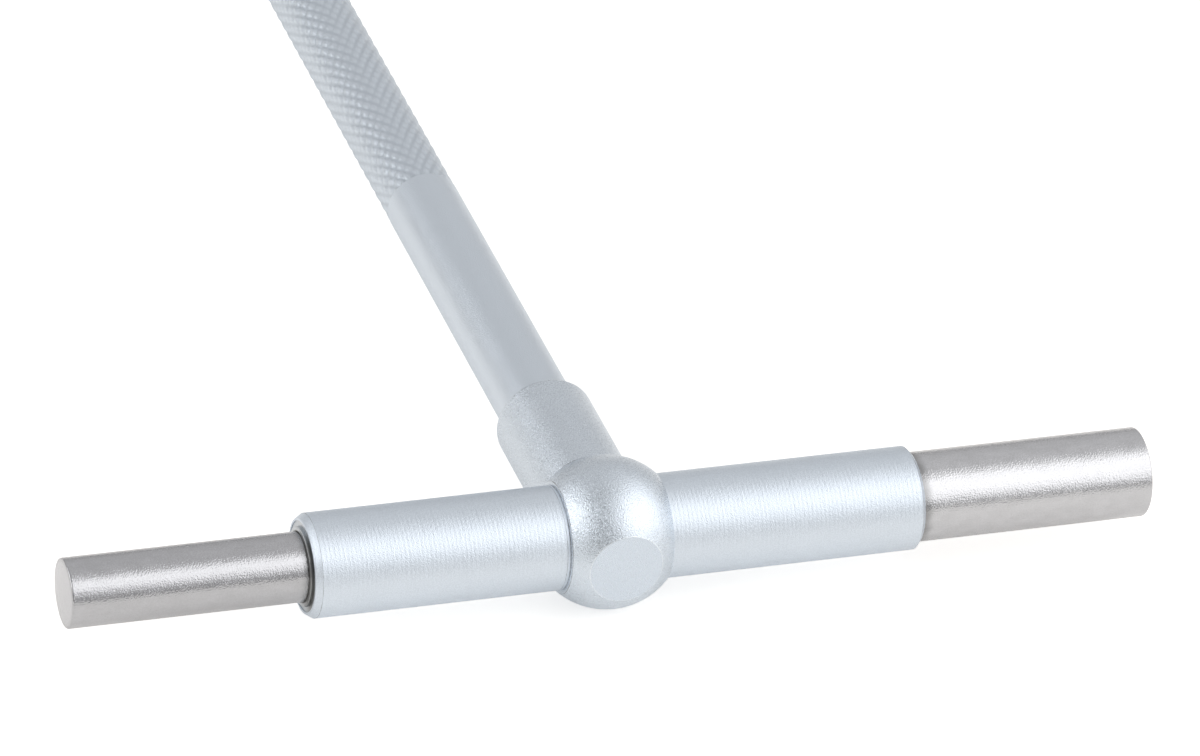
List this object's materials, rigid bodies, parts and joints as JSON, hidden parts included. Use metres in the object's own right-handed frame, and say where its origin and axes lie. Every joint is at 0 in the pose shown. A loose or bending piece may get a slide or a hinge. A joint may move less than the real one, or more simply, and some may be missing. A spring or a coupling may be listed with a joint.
{
  "type": "telescoping gauge",
  "caption": "T-shaped bore gauge with sprung telescoping plungers in its cross head, a knurled handle and a lock screw at the handle's end.",
  "frame": {"origin": "middle of the flat on the front of the hub, which lies on the handle's axis", "axes": "+X along the plungers towards the large one, +Y along the handle away from the hub, +Z square to the plane of the T; the plungers' axis is 5.48 mm behind the origin"},
  "size_m": [0.0913, 0.1255, 0.0126],
  "materials": {
    "satin_chrome": "satin chrome plate on turned steel, fine blasted grain",
    "ground_steel": "hardened steel, ground bright",
    "bush_steel": "turned steel, darkened",
    "spring_steel": "drawn spring wire",
    "rod_steel": "bright drawn steel",
    "shoe_brass": "turned brass"
  },
  "bodies": {
    "head_and_handle": {"hub": "satin_chrome", "head_tube": "satin_chrome", "guide_bush": "bush_steel", "handle": "satin_chrome", "plunger_spring": "spring_steel"},
    "large_plunger": {"large_plunger": "ground_steel"},
    "small_plunger": {"small_plunger": "ground_steel"},
    "lock_rod": {"lock_rod": "rod_steel", "lock_shoe": "shoe_brass"},
    "lock_screw": {"lock_screw": "satin_chrome"}
  },
  "joints": [
    {"name": "large_plunger_slide", "type": "slide", "parent": "head_and_handle", "child": "large_plunger", "axis": [-1, 0, 0], "range_m": [0, 0.0188], "stiffness_N_per_m": 50, "springref_m": -0.03, "deforming": ["plunger_spring"]},
    {"name": "small_plunger_slide", "type": "slide", "parent": "head_and_handle", "child": "small_plunger", "axis": [1, 0, 0], "range_m": [0, 0.01845], "stiffness_N_per_m": 50, "springref_m": -0.03, "deforming": ["plunger_spring"]},
    {"name": "lock_push", "type": "slide", "parent": "head_and_handle", "child": "lock_rod", "axis": [0, -1, 0], "range_m": [0, 0.000175]},
    {"name": "lock_turn", "type": "hinge", "parent": "lock_rod", "child": "lock_screw", "pos_m": [0, 0.11198, 0], "axis": [0, -1, 0], "range_deg": [0, 90]}
  ],
  "couplings": [
    {"joint": "lock_turn", "follows": "lock_push", "rad_per_m": 8976}
  ]
}
